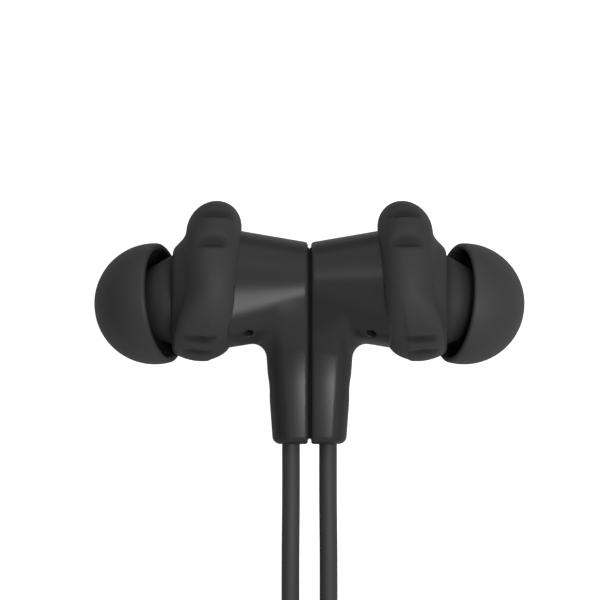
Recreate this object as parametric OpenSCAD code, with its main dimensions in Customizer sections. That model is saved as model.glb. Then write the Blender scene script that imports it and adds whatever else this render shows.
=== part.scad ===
// Neckband earphones: two in-ear buds docked back to back by magnets, each on a round cord
// that runs to a control or battery pod at the end of a springy neckband.
// The set lies on a surface at z = 0. +Y points to the back of the neck arch, +X to the right bud.

/* [Neckband] */
// Radius of the neck arch, to the middle of the band
arch_r = 60; // [54:1:66]
// Overall length, from the back of the arch to the ends of the cord glands
overall_len = 176; // [166:1:186]
// Thickness of the band
band_t = 3.4; // [3.0:0.1:4.4]
// Height of the band as it lies
band_h = 7.0; // [6:0.1:8]
// How far each arm turns in towards the other, in degrees
toe_in = 4; // [0:0.5:6]
// Angle on the arch from the back to the line where an arm starts to flex
flex_at = 60; // [50:1:66]

/* [Pods] */
// Length of a pod
pod_len = 58; // [54:1:62]
// Width of a pod
pod_w = 11.4; // [11:0.1:13]
// Height of a pod
pod_h = 10.4; // [10:0.1:12]
// Wall of the pod shells
pod_wall = 1.4; // [1.2:0.1:1.6]
// How far a button travels
key_travel = 0.4; // [0.2:0.05:0.5]

/* [Buds] */
// Radius of the barrel at its docking face
dock_r = 4.85; // [4.6:0.05:5.2]
// Flare of the barrel from the docking face outwards, in degrees
flare = 9.7; // [8:0.1:11]
// Distance from the barrel's axis to the bottom of the stem
stem_len = 16.3; // [15:0.1:18]
// Depth of the stem, front to back, at its bottom
stem_depth = 4.8; // [4.4:0.1:5.4]
// How far the nozzle points away from the front, in degrees
nozzle_back = 18.5; // [16:0.5:24]
// How far the nozzle points down towards the stem side, in degrees
nozzle_down = 6.5; // [4:0.5:9]
// Radius of the ear tip's dome
tip_r = 6.425; // [5.5:0.025:6.6]
// Lean of the docked pair as it rests on its two ear tips, in degrees
lean = 20; // [14:1:24]

/* [Cords] */
// Diameter of the cords
cord_d = 1.88; // [1.6:0.02:2.0]

/* [Hidden] */
$fn = 48;

CASING = [0.17, 0.17, 0.175];
SILICONE = [0.13, 0.13, 0.13];
STEEL = [0.62, 0.63, 0.65];
BOARD = [0.06, 0.22, 0.13];

hair = 0.02;          // slack between fitted pieces of one body
play_gap = 0.15;      // clearance round a button
flex_gap = 0.3;       // clearance at the flex lines
grip_extra = 0.5;     // how far the grip stands proud of the band
band_z = grip_extra;  // underside of the band, which the grip and the pods carry
core_t = 0.7;
core_h = 4;
grip_span = 14;       // degrees each way from the back of the arch
grip_round = 1.2;
band_round = 1.1;
gland_len = 9;
gland_r = 2.6;
gland_tip_r = 1.45;
gland_z = 4.6;
gland_step = 0.5;     // from the gland's outside down to its neck in the pod's wall
arch_y = overall_len / 2 - arch_r - band_t / 2 - grip_extra;
arm_span = 90 + toe_in;   // degrees of arch from the back to the straight arm
arm_total = (arch_y - arch_r * sin(toe_in) + overall_len / 2 - gland_tip_r * sin(toe_in))
    / cos(toe_in);
arm_len = arm_total - pod_len - gland_len;
split_z = 5.0;        // parting line of the pod shells
band_in_pod = 3.5;

// Bud dimensions, measured from the docking plane along the barrel's axis.
dock_gap = 0.12;
dock_round = 0.6;
shell_wall = 0.9;
barrel_end = 9.0;
plate_r = 3.9;
plate_t = 0.9;
nozzle_at = [8, -0.65, -0.6];   // a point on the nozzle's axis, in the bud's frame
nozzle_r = 2.05;
nozzle_bore = 1.5;
nozzle_end = 13.2;
neck_at = 5.0;        // the neck between the front cone and the nozzle
neck_end = 8.4;
neck_r = 3.3;
tip_bore = 2.3;
barb_r = tip_bore - 0.03;
tip_centre = 8.87;    // the centre of the ear tip's dome, along the nozzle's axis
tip_wall = 0.65;
tip_core_r = 3.1;
tip_mouth = 2.1;
fin_at = 10.5;
fin_shear = 0.103;
fin_half = 2.7;
stem_in = dock_gap;   // the stem's inner side lies in the docking plane
stem_out_top = 4.75;
stem_out_bottom = 3.8;
cord_u = 1.95;        // the cord's place across the stem
marker_v = -10.5;
vent_u = 6.45;
vent_angle = 48;

// Height of the barrel's axis, so that the ear tips just rest on the surface.
tip_centre_v = nozzle_at[1] - tip_centre * cos(nozzle_back) * sin(nozzle_down);
tip_centre_w = nozzle_at[2] - tip_centre * sin(nozzle_back);
bud_y = 4;
bud_z = tip_r - tip_centre_w * cos(lean) - tip_centre_v * sin(lean);

// Route of the right cord from the stem to its gland, after the stem's own end point.
// It leans down on to the surface, runs out, loops round and climbs to the gland.
stem_exit = [cord_u, bud_y - stem_len * cos(lean), bud_z - stem_len * sin(lean)];
gland_exit = [arch_r * cos(toe_in) - arm_total * sin(toe_in),
    arch_y - arch_r * sin(toe_in) - arm_total * cos(toe_in), gland_z];
ROUTE = [[1.95, -17, 3.3], [2, -23, 1.8], [2, -31, 1], [2, -42, 0.96], [2, -56, 0.96],
    [2.2, -72, 0.96], [2.4, -88, 0.96], [2.7, -103, 0.96], [3.8, -117, 0.96],
    [7.4, -129, 0.96], [15.4, -138, 0.96], [26.6, -141.4, 0.96], [37.6, -138.4, 0.96],
    [46, -130, 0.96], [50, -118.4, 0.96], [51.1, -107, 1.5], [51.6, -97, 3.3]];

// ---- helpers ----

module side(s) { if (s > 0) children(); else mirror([1, 0, 0]) children(); }

// A rectangle with round corners, about the origin, with true arcs.
module round_rect(w, h, r) {
    square([w - 2 * r, h], center = true);
    square([w, h - 2 * r], center = true);
    for (x = [-1, 1], y = [-1, 1])
        translate([x * (w / 2 - r), y * (h / 2 - r)]) circle(r);
}

// A stretch of the arch between two angles from the back, positive on the right side.
module arch(from, to)
    translate([0, arch_y, 0]) rotate([0, 0, 90 - to])
        rotate_extrude(angle = to - from, $fn = 180) translate([arch_r, 0]) children();

module band_section(t = band_t, h = band_h, z = band_z, r = band_round)
    translate([0, z + h / 2]) round_rect(t, h, r);

function arch_point(a) = [arch_r * sin(a), arch_y + arch_r * cos(a), 0];

// The right arm's own frame: the arm runs along -Y from the end of the arch.
module arm(s) side(s) translate(arch_point(arm_span)) rotate([0, 0, -toe_in]) children();

// The bud's own frame: X outwards from the docking plane, Y up the stem, Z to the front.
module bud(s) side(s) translate([0, bud_y, bud_z]) rotate([lean, 0, 0]) children();

// The nozzle's frame: Z along the nozzle, outwards.
module along_nozzle()
    translate(nozzle_at) rotate([0, 0, -nozzle_down]) rotate([0, 90 + nozzle_back, 0]) children();

module along_barrel() rotate([0, 90, 0]) children();

// ---- neckband ----

module core_section() translate([0, band_z + band_h / 2]) square([core_t, core_h], center = true);

// The band ends at each flex line in a round nose, which the arm's socket turns about.
nose_r = band_t / 2 + 0.15;

module flex_axis() translate(arch_point(flex_at)) children();

module band_sleeve() color(SILICONE) difference() {
    union() {
        arch(-flex_at, flex_at) band_section();
        for (s = [-1, 1]) side(s) flex_axis() translate([0, 0, band_z + 0.2])
            cylinder(r = nose_r, h = band_h - 0.4);
    }
    core_strip(flex_at + 1.4);
}

module core_strip(a) arch(-a, a) core_section();

module band_core() color(STEEL) core_strip(flex_at + 1.2);

module grip_body() arch(-grip_span, grip_span)
    band_section(band_t + 2 * grip_extra, band_h + 2 * grip_extra, 0, grip_round);

module band_grip() color(SILICONE) difference() {
    grip_body();
    arch(-grip_span - 1, grip_span + 1)
        band_section(band_t + 2 * hair, band_h + 2 * hair, band_z - hair, band_round);
}

// The band's straight stretch, into the pod, grown by extra and begun lead inside the arch.
module arm_straight(extra, lead = 0) translate([0, lead, 0]) rotate([90, 0, 0])
    linear_extrude(arm_len + band_in_pod + lead) translate([0, band_z + band_h / 2])
        round_rect(band_t + 2 * extra, band_h + 2 * extra, band_round + extra);

module core_straight(beyond = 0)
    translate([-core_t / 2, -arm_len - band_in_pod - beyond, band_z + (band_h - core_h) / 2])
        cube([core_t, arm_len + band_in_pod + beyond, core_h]);

module arm_sleeve(s) color(SILICONE) difference() {
    union() {
        side(s) arch(flex_at, arm_span) band_section();
        arm(s) arm_straight(-hair, 1);
    }
    side(s) flex_axis() translate([0, 0, -1]) cylinder(r = nose_r + flex_gap, h = band_h + 3);
    side(s) arch(flex_at - 1, arm_span) core_section();
    arm(s) core_straight(2);
}

module arm_core(s) color(STEEL) {
    side(s) arch(flex_at + 2.6, arm_span) core_section();
    arm(s) core_straight(1.5);
}

// ---- pods ----

pod_round = 3.4;
pod_end_round = 4.6;
key_z = pod_h - pod_wall;        // underside of the pod's roof
key_pitch = 11.5;
key_w = 5.2;
key_l = 8.4;
key_proud = 0.5;
key_lip = 0.7;
key_lip_t = 0.7;
key_corner = 2.2;
key_room = key_lip + play_gap;
pocket_z = key_z - key_lip_t - key_travel - 0.1;
keys_at = 28;                    // from the pod's rear to its middle button
power_at = 16;
power_r = 2.7;
light_at = 23;
port_at = 34;
port_w = 8.9;
port_t = 3.2;
port_depth = 6.4;
port_z = 5.2;
flap_l = 12.4;
flap_h = 4.4;
flap_t = 0.8;
mic_at = 47;
screw_r = 0.6;
screw_head_r = 1.15;
screw_head_t = 0.8;
boss_r = 1.5;
screws_at = [8.4, pod_len - 6.6];

// The pod's outer shape, drawn in by i on every side.
module pod_solid(i = 0) translate([0, -arm_len - pod_len / 2, pod_h / 2]) intersection() {
    rotate([90, 0, 0]) linear_extrude(pod_len - 2 * i, center = true)
        round_rect(pod_w - 2 * i, pod_h - 2 * i, pod_round - i);
    linear_extrude(pod_h, center = true)
        round_rect(pod_w - 2 * i, pod_len - 2 * i, pod_end_round - i);
}

module pod_half(upper) translate([-pod_w, -arm_len - pod_len - 1, upper ? split_z : -1])
    cube([2 * pod_w, pod_len + 2, upper ? pod_h : split_z + 1]);

module pod_holes() {
    arm_straight(hair);
    gland_bore();
}

module gland_bore() translate([0, -arm_len - pod_len - 1, gland_z]) rotate([-90, 0, 0])
    cylinder(r = gland_r - gland_step + hair, h = pod_wall + 1 + gland_step);

module screw_places() for (d = screws_at) translate([0, -arm_len - d, 0]) children();

module key_place(d) translate([0, -arm_len - d, 0]) children();

// A hole in the roof over a pocket, which gives the button's lip room at the roof's round sides.
module long_key_hole(d) key_place(d) {
    translate([0, 0, key_z - 1]) linear_extrude(4)
        round_rect(key_w + 2 * play_gap, key_l + 2 * play_gap, key_corner + play_gap);
    translate([0, 0, pocket_z]) linear_extrude(key_z - pocket_z)
        round_rect(key_w + 2 * key_room, key_l + 2 * key_room, key_corner + play_gap);
}

module round_key_hole(d) key_place(d) {
    translate([0, 0, key_z - 1]) cylinder(r = power_r + play_gap, h = 4);
    translate([0, 0, pocket_z]) cylinder(r = power_r + key_room, h = key_z - pocket_z);
}

module flap_recess() translate([pod_w / 2 - flap_t - 0.1, -arm_len - port_at - flap_l / 2 - 0.1,
    port_z - flap_h / 2 - 0.1]) cube([flap_t + 2, flap_l + 0.2, flap_h + 0.2]);

module port_mouth() port_place(pod_w / 2 - port_depth - 1.6) linear_extrude(port_depth + 3)
    round_rect(port_t + 0.2, port_w + 0.2, 1.6);

battery_at = 11;
battery_l = 17.6;
battery_w = 6.4;
battery_z = 1.9;
battery_t = 4.8;
board_at = 11.2;
board_len = 37.6;
board_z = port_z + port_t / 2 + 0.05;
board_t = 0.6;

// The pod's openings: side 1 has three buttons and a microphone, side -1 the rest.
module pod_openings(s) {
    if (s > 0) {
        for (k = [-1, 0, 1]) long_key_hole(keys_at + k * key_pitch);
        key_place(mic_at) translate([0, 0, key_z - 1]) cylinder(r = 0.75, h = 4);
    } else {
        round_key_hole(power_at);
        key_place(light_at) translate([0, 0, key_z - 1]) cylinder(r = 0.7, h = 4);
        flap_recess();
        port_mouth();
    }
}

module pod_upper(s) color(CASING) arm(s) difference() {
    union() {
        difference() {
            pod_solid();
            pod_solid(pod_wall);
        }
        screw_places() translate([0, 0, split_z]) cylinder(r = boss_r, h = pod_h - split_z - 0.5);
    }
    pod_half(false);
    pod_holes();
    pod_openings(s);
    screw_places() translate([0, 0, split_z - 1]) cylinder(r = screw_r, h = 3.6);
}

module pod_lower(s) color(CASING) arm(s) difference() {
    union() {
        difference() {
            pod_solid();
            pod_solid(pod_wall);
        }
        screw_places() translate([0, 0, 0.5]) cylinder(r = boss_r + 0.4, h = split_z - 0.5);
    }
    pod_half(true);
    pod_holes();
    pod_openings(s);
    screw_places() translate([0, 0, -1]) {
        cylinder(r = screw_r + hair, h = split_z + 2);
        cylinder(r = screw_head_r + hair, h = screw_head_t + 1.2);
    }
}

module pod_screws(s) color(STEEL) arm(s) screw_places() difference() {
    translate([0, 0, 0.2]) {
        cylinder(r = screw_head_r, h = screw_head_t);
        cylinder(r = screw_r - 0.01, h = split_z + 2.2);
    }
    translate([0, 0, 0]) cylinder(r = 0.45, h = 0.6, $fn = 6);
}

// Tapered strain relief with three grooves, its flange inside the pod's front wall.
module cord_gland(s) color(SILICONE) arm(s)
    translate([0, -arm_len - pod_len, gland_z]) rotate([90, 0, 0]) rotate_extrude() polygon(concat(
        [[cord_d / 2 + hair, -pod_wall - 1.3], [2.5, -pod_wall - 1.3], [2.5, -pod_wall - gland_step],
         [gland_r - gland_step, -pod_wall - gland_step], [gland_r - gland_step, hair],
         [gland_r, hair]],
        [for (k = [0:2]) let (z = 1.6 + 2.2 * k, r = gland_r - (gland_r - gland_tip_r)
            * z / gland_len) each [[r, z], [r - 0.35, z + 0.15], [r - 0.35, z + 0.75],
            [r - 0.1, z + 0.9]]],
        [[gland_tip_r, gland_len], [cord_d / 2 + hair, gland_len]]));

module inside_box(d, l, w, z, h) translate([-w / 2, -arm_len - d - l, z]) cube([w, l, h]);

module battery() color([0.75, 0.75, 0.78]) arm(-1)
    inside_box(battery_at, battery_l, battery_w, battery_z, battery_t);

module power_board() color(BOARD) arm(-1) inside_box(board_at, board_len, 7.4, board_z, board_t);

module port_place(x) translate([x, -arm_len - port_at, port_z]) rotate([0, 90, 0]) children();

module charge_port() color(STEEL) arm(-1) {
    port_place(pod_w / 2 - port_depth - 1.2) difference() {
        linear_extrude(port_depth) round_rect(port_t, port_w, 1.5);
        translate([0, 0, 0.6]) linear_extrude(port_depth)
            round_rect(port_t - 0.6, port_w - 0.6, 1.2);
    }
    translate([pod_w / 2 - port_depth - 0.7, -arm_len - port_at - 3.3, port_z - 0.35])
        cube([port_depth - 1.6, 6.6, 0.7]);
}

module main_board() color(BOARD) arm(1) inside_box(board_at, board_len, 7.4, board_z, board_t);

module radio_shield() color(STEEL) arm(1) inside_box(14, 20, 6, board_z - 1.4, 1.38);

// A tactile switch under a button: its top just clears the button at full travel.
switch_top = key_z - key_lip_t - key_travel - 0.05;
module switch_box(d) key_place(d) translate([-1.8, -1.8, board_z + board_t + 0.01])
    cube([3.6, 3.6, switch_top - board_z - board_t - 0.01]);

module key_switches() color([0.8, 0.8, 0.82]) arm(1)
    for (k = [-1, 0, 1]) switch_box(keys_at + k * key_pitch);

module power_switch() color([0.8, 0.8, 0.82]) arm(-1) switch_box(power_at);

module vibration_motor() color(STEEL) arm(-1) translate([0, -arm_len - 44.6, board_z - 2.5])
    cylinder(r = 3.4, h = 2.48);

module status_light() color([0.85, 0.88, 0.9]) arm(-1) key_place(light_at)
    translate([0, 0, board_z + board_t + 0.01])
        cylinder(r = 0.68, h = pod_h - board_z - board_t - 0.06);

module microphone_mesh() color([0.3, 0.3, 0.3]) arm(1) key_place(mic_at)
    translate([0, 0, pod_h - 0.7]) cylinder(r = 0.74, h = 0.4);

module power_key() color(CASING) arm(-1) key_place(power_at) {
    translate([0, 0, key_z - key_lip_t]) cylinder(r = power_r + key_lip, h = key_lip_t - hair);
    translate([0, 0, key_z - 0.1]) cylinder(r = power_r, h = pod_wall + key_proud + 0.1);
}

module long_key(d) color(CASING) arm(1) key_place(d) {
    translate([0, 0, key_z - key_lip_t]) linear_extrude(key_lip_t - hair)
        round_rect(key_w + 2 * key_lip, key_l + 2 * key_lip, key_corner);
    translate([0, 0, key_z - 0.1]) linear_extrude(pod_wall + key_proud + 0.1)
        round_rect(key_w, key_l, key_corner);
}

// The rubber flap over the socket turns about its round end.
module port_flap() color(SILICONE) arm(-1)
    translate([pod_w / 2 - flap_t / 2, -arm_len - port_at + flap_l / 2 - flap_t / 2,
        port_z - flap_h / 2]) {
        cylinder(r = flap_t / 2, h = flap_h);
        translate([-flap_t / 2, -flap_l + flap_t / 2, 0]) cube([flap_t, flap_l - flap_t / 2, flap_h]);
    }

// ---- buds ----

function barrel_r(u) = dock_r + u * tan(flare);

// The barrel's outer surface as a solid of revolution, with a soft edge at the docking face.
module barrel_body() along_barrel() rotate_extrude() polygon(concat([[0, dock_gap]],
    [for (a = [0:15:90]) [barrel_r(dock_gap) - dock_round + dock_round * sin(a),
        dock_gap + dock_round - dock_round * cos(a)]],
    [[barrel_r(barrel_end), barrel_end], [0, barrel_end]]));

module barrel_cavity() along_barrel() {
    translate([0, 0, plate_t + dock_gap + 0.3])
        cylinder(r1 = barrel_r(plate_t) - shell_wall, r2 = barrel_r(barrel_end) - shell_wall,
            h = barrel_end - plate_t - dock_gap);
    translate([0, 0, -1]) cylinder(r = plate_r, h = 4);
}

// One slice of the stem: across from the docking plane to out, at height v.
module stem_slice(v, out, depth, shrink = 0) translate([0, v, 0]) rotate([90, 0, 0])
    linear_extrude(0.05) translate([(stem_in + out) / 2, 0])
        round_rect(out - stem_in - 2 * shrink, depth - 2 * shrink, 1.3 - shrink);

module stem_body() {
    hull() {
        stem_slice(-1, stem_out_top + 0.4, 7.4);
        stem_slice(-8.4, 4.45, 5.6);
        stem_slice(-stem_len + 0.7, stem_out_bottom, stem_depth);
        stem_slice(-stem_len + 0.05, stem_out_bottom, stem_depth, 0.55);
    }
    fillet_r = 1.9;
    translate([0, 0, -2]) linear_extrude(4) difference() {
        polygon([[3, -4], [6.3, -4], [6.3, -5.72], [4.5, -8.2], [3, -8.2]]);
        translate([4.42 + fillet_r, -5.7 - fillet_r]) circle(fillet_r);
    }
}

module grommet_place() translate([cord_u, -stem_len, 0]) rotate([-90, 0, 0]) children();

module bud_shell(s) color(CASING) bud(s) difference() {
    union() {
        barrel_body();
        stem_body();
    }
    barrel_cavity();
    grommet_place() {
        translate([0, 0, -1]) cylinder(r = cord_d / 2 + 0.3, h = stem_len - 1);
        translate([0, 0, -1]) cylinder(r = 1.45, h = 4);
    }
    marker_pocket();
    vent_place() cylinder(r = 0.47, h = 3);
}

// On the barrel's wall, low at the front.
module vent_place() translate([vent_u, 0, 0]) rotate([vent_angle, 0, 0])
    translate([0, 0, barrel_r(vent_u) - 2]) children();

module marker_pocket() translate([3.55, marker_v, 0.3]) along_barrel() cylinder(r = 0.95, h = 3);

module side_marker(s) color([0.42, 0.42, 0.43]) bud(s) intersection() {
    translate([3.55, marker_v, 0.3]) along_barrel() cylinder(r = 0.95 - hair, h = 3);
    stem_body();
}

module dock_plate(s) color(CASING) bud(s) along_barrel() translate([0, 0, dock_gap])
    cylinder(r = plate_r - hair, h = plate_t);

module magnet(s) color(STEEL) bud(s) along_barrel() translate([0, 0, dock_gap + plate_t])
    cylinder(r = 3, h = 1.6);

module driver(s) color([0.7, 0.6, 0.35]) bud(s) along_barrel() translate([0, 0, 5.9]) {
    cylinder(r = 3.2, h = 1.2);
    translate([0, 0, 1.2]) cylinder(r = 4.6, h = 1.9);
}

module vent_mesh(s) color([0.25, 0.25, 0.25]) bud(s) vent_place()
    translate([0, 0, 1.25]) cylinder(r = 0.45, h = 0.25);

// The cone between the barrel and the neck.
module front_cone() hull() {
    along_barrel() translate([0, 0, barrel_end]) cylinder(r = barrel_r(barrel_end), h = 0.6);
    along_nozzle() translate([0, 0, neck_at]) cylinder(r = neck_r - 0.1, h = 0.4);
}

// The neck, and the nozzle with the barb that holds the ear tip.
module nozzle_body() along_nozzle() rotate_extrude() polygon([[0, neck_at], [neck_r, neck_at],
    [neck_r, neck_end - 0.4], [neck_r - 0.4, neck_end], [nozzle_r, neck_end], [nozzle_r, 11.2],
    [barb_r, 11.7], [nozzle_r, 12.7], [nozzle_r, nozzle_end], [0, nozzle_end]]);

module front_housing(s) color(CASING) bud(s) difference() {
    union() {
        front_cone();
        nozzle_body();
        along_barrel() translate([0, 0, 8.1]) cylinder(r = 5.25, h = 1.2);
    }
    hull() {
        along_barrel() translate([0, 0, barrel_end]) cylinder(r = 4.4, h = 0.2);
        along_nozzle() translate([0, 0, 4]) cylinder(r = 2.4, h = 0.2);
    }
    along_barrel() translate([0, 0, 7.9]) cylinder(r = 4.62, h = 1.25);
    along_nozzle() translate([0, 0, 3.5]) cylinder(r = nozzle_bore, h = 12);
}

module nozzle_mesh(s) color([0.35, 0.35, 0.36]) bud(s) along_nozzle()
    translate([0, 0, nozzle_end - 0.5]) cylinder(r = nozzle_bore - 0.01, h = 0.3);

module stem_grommet(s) color(SILICONE) bud(s) grommet_place() difference() {
    cylinder(r = 1.45 - hair, h = 3);
    translate([0, 0, -1]) cylinder(r = cord_d / 2 + hair, h = 6);
}

// The sleeve and its fin are drawn as rings of points. Angles run round the barrel from the top.
fin_steps = 40;
nozzle_dir = [cos(nozzle_back) * cos(nozzle_down), -cos(nozzle_back) * sin(nozzle_down),
    -sin(nozzle_back)];
nozzle_side = [sin(nozzle_down), cos(nozzle_down), 0];
nozzle_front = cross(nozzle_dir, nozzle_side);

// Outer radius of the fin: drawn out to a tongue at the top.
function fin_r(a) = 7.5 + 1.75 * pow(max(0, cos(a)), 3);

// A ring of the fin, x from its middle plane, which leans outwards to the stem side.
function fin_ring(x, drop) = [for (k = [0:fin_steps - 1])
    let (a = 360 * k / fin_steps, r = fin_r(a) - drop)
        [fin_at + x - r * cos(a) * fin_shear, r * cos(a), r * sin(a)]];

// A round ring on the barrel at distance u, leaning with the fin by lean_k.
function barrel_ring(u, r, lean_k) = [for (k = [0:fin_steps - 1]) let (a = 360 * k / fin_steps)
    [u - lean_k * r * cos(a) * fin_shear, r * cos(a), r * sin(a)]];

// A round ring about the nozzle's axis.
function nozzle_ring(z, r) = [for (k = [0:fin_steps - 1]) let (a = 360 * k / fin_steps)
    nozzle_at + z * nozzle_dir + r * (cos(a) * nozzle_side + sin(a) * nozzle_front)];

FIN_RINGS = [
    barrel_ring(fin_at - fin_half, barrel_r(fin_at - fin_half) + 0.12, 1),
    fin_ring(-fin_half, 0.75), fin_ring(-fin_half + 0.15, 0.3), fin_ring(-fin_half + 0.5, 0.05),
    fin_ring(-0.6, 0), fin_ring(1.2, 0.12), fin_ring(2.2, 0.45), fin_ring(2.75, 1.1),
    barrel_ring(fin_at + 1.9, 6.7, 0.5), nozzle_ring(5.9, 5.2), nozzle_ring(6.8, 4.8),
    nozzle_ring(7.0, 4.3), nozzle_ring(6.6, 3.7),
    barrel_ring(barrel_end + 0.8, barrel_r(barrel_end) + 0.2, 0)];

// A closed band from rings of equal count, the last ring meeting the first.
module ring_band(rings) polyhedron(points = [for (q = rings) each q],
    faces = [for (i = [0:len(rings) - 1], k = [0:fin_steps - 1])
        let (j = (i + 1) % len(rings), m = (k + 1) % fin_steps, n = fin_steps)
            each [[i * n + k, j * n + k, j * n + m], [i * n + k, j * n + m, i * n + m]]]);

module ear_fin(s) color(SILICONE) bud(s) ring_band(FIN_RINGS);

// A soft dome with a skirt, on an inner tube that grips the nozzle.
module ear_tip(s) color(SILICONE) bud(s) along_nozzle() rotate_extrude() polygon(concat(
    [for (a = [-9:8.5:67.5]) [tip_r * cos(a), tip_centre + tip_r * sin(a)]],
    [[tip_mouth + 0.15, tip_centre + 5.95], [tip_mouth, tip_centre + 5.75], [tip_mouth, nozzle_end + 0.3],
     [tip_bore, nozzle_end + 0.3], [tip_bore, 9.0], [tip_core_r, 9.0], [tip_core_r, 13.3]],
    [for (a = [50.5:-8.5:-9]) [(tip_r - tip_wall) * cos(a), tip_centre + (tip_r - tip_wall) * sin(a)]]));

// ---- cords ----

// A smooth curve through points, with n steps between neighbours.
function spline(p, n) = [for (i = [0:len(p) - 2], k = [0:n - 1])
    let (a = p[max(i - 1, 0)], b = p[i], c = p[i + 1], d = p[min(i + 2, len(p) - 1)], t = k / n)
        0.5 * (2 * b + (c - a) * t + (2 * a - 5 * b + 4 * c - d) * t * t
            + (3 * b - a - 3 * c + d) * t * t * t)];

function unit(v) = v / norm(v);

function ring(p, i, r, sides) = let (
    along = unit(p[min(i + 1, len(p) - 1)] - p[max(i - 1, 0)]),
    across = unit(cross(along, [0, 0, 1])), up = cross(across, along))
        [for (k = [0:sides - 1]) p[i] + r * (across * cos(360 * k / sides) + up * sin(360 * k / sides))];

module tube(p, r, sides = 8) polyhedron(
    points = [for (i = [0:len(p) - 1]) each ring(p, i, r, sides)],
    faces = concat([[for (k = [0:sides - 1]) k]],
        [for (i = [0:len(p) - 2], k = [0:sides - 1])
            let (a = i * sides + k, b = i * sides + (k + 1) % sides) [a, a + sides, b + sides, b]],
        [[for (k = [sides - 1:-1:0]) (len(p) - 1) * sides + k]]));

module cord(s) color(SILICONE) side(s)
    tube(concat(spline(concat([stem_exit], ROUTE, [gland_exit]), 2), [gland_exit]), cord_d / 2);

band_sleeve();
band_core();
band_grip();
arm_sleeve(-1);  // left_arm_sleeve
arm_core(-1);  // left_arm_core
pod_upper(-1);  // left_pod_upper
pod_lower(-1);  // left_pod_lower
pod_screws(-1);  // left_pod_screws
cord_gland(-1);  // left_cord_gland
battery();
power_board();
charge_port();
vibration_motor();
status_light();
power_switch();
power_key();
port_flap();
arm_sleeve(1);  // right_arm_sleeve
arm_core(1);  // right_arm_core
pod_upper(1);  // right_pod_upper
pod_lower(1);  // right_pod_lower
pod_screws(1);  // right_pod_screws
cord_gland(1);  // right_cord_gland
main_board();
key_switches();
radio_shield();
microphone_mesh();
long_key(keys_at - key_pitch);  // volume_up_key
long_key(keys_at);  // play_key
long_key(keys_at + key_pitch);  // volume_down_key
bud_shell(-1);  // left_bud_shell
dock_plate(-1);  // left_dock_plate
magnet(-1);  // left_magnet
driver(-1);  // left_driver
front_housing(-1);  // left_front_housing
nozzle_mesh(-1);  // left_nozzle_mesh
vent_mesh(-1);  // left_vent_mesh
side_marker(-1);  // left_side_marker
stem_grommet(-1);  // left_stem_grommet
ear_fin(-1);  // left_ear_fin
ear_tip(-1);  // left_ear_tip
bud_shell(1);  // right_bud_shell
dock_plate(1);  // right_dock_plate
magnet(1);  // right_magnet
driver(1);  // right_driver
front_housing(1);  // right_front_housing
nozzle_mesh(1);  // right_nozzle_mesh
vent_mesh(1);  // right_vent_mesh
side_marker(1);  // right_side_marker
stem_grommet(1);  // right_stem_grommet
ear_fin(1);  // right_ear_fin
ear_tip(1);  // right_ear_tip
cord(-1);  // left_cord
cord(1);  // right_cord
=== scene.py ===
import math

import bmesh
import bpy
import numpy as np
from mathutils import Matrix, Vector


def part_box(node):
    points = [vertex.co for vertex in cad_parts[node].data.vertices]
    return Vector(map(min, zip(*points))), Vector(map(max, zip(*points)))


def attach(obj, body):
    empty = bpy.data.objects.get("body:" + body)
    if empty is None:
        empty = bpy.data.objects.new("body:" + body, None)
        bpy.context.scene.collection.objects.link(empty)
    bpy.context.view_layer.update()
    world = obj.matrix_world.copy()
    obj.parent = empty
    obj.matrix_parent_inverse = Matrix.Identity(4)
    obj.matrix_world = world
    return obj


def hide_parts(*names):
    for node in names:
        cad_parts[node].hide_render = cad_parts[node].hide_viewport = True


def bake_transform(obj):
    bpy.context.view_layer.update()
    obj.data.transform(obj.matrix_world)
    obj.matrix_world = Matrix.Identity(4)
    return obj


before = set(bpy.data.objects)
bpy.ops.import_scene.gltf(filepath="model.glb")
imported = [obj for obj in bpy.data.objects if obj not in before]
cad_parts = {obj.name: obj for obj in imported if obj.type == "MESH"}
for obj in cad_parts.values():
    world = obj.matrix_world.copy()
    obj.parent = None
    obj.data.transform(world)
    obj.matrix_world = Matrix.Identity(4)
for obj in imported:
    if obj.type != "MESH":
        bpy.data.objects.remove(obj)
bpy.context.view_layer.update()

MM = 0.001
SIDES = {"left": -1, "right": 1}


# ---- places: three local frames, all in mm, and the way from each to the row frame in metres ----

def box_mm(node_name):
    """Lowest and highest corners of a CAD node at rest, in mm."""
    return [np.array(corner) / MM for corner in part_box(node_name)]


# The buds' frame: u out from the docking plane, v up the stem, w to the front.
LEAN = math.radians(20)   # lean of the docked pair
plate_low, plate_high = box_mm("right_dock_plate")
BUD_Y, BUD_Z = ((plate_low + plate_high) / 2)[1:]


def bud_to_frame(points, side):
    p = np.asarray(points, float).reshape(-1, 3)
    c, s = math.cos(LEAN), math.sin(LEAN)
    return np.column_stack((side * p[:, 0], BUD_Y + p[:, 1] * c - p[:, 2] * s,
                            BUD_Z + p[:, 1] * s + p[:, 2] * c)) * MM


# The nozzle's frame: about its axis, with its length in the third place.
NOZZLE_AT = np.array([8, -0.65, -0.6])
NOZZLE_BACK = math.radians(18.5)
NOZZLE_DOWN = math.radians(6.5)
NOZZLE_DIR = np.array([math.cos(NOZZLE_BACK) * math.cos(NOZZLE_DOWN),
                       -math.cos(NOZZLE_BACK) * math.sin(NOZZLE_DOWN), -math.sin(NOZZLE_BACK)])
NOZZLE_SIDE = np.array([math.sin(NOZZLE_DOWN), math.cos(NOZZLE_DOWN), 0])
NOZZLE_FRONT = np.cross(NOZZLE_DIR, NOZZLE_SIDE)


def nozzle_to_frame(points, side):
    p = np.asarray(points, float).reshape(-1, 3)
    return bud_to_frame(NOZZLE_AT + p[:, :1] * NOZZLE_SIDE + p[:, 1:2] * NOZZLE_FRONT
                        + p[:, 2:] * NOZZLE_DIR, side)


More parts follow.
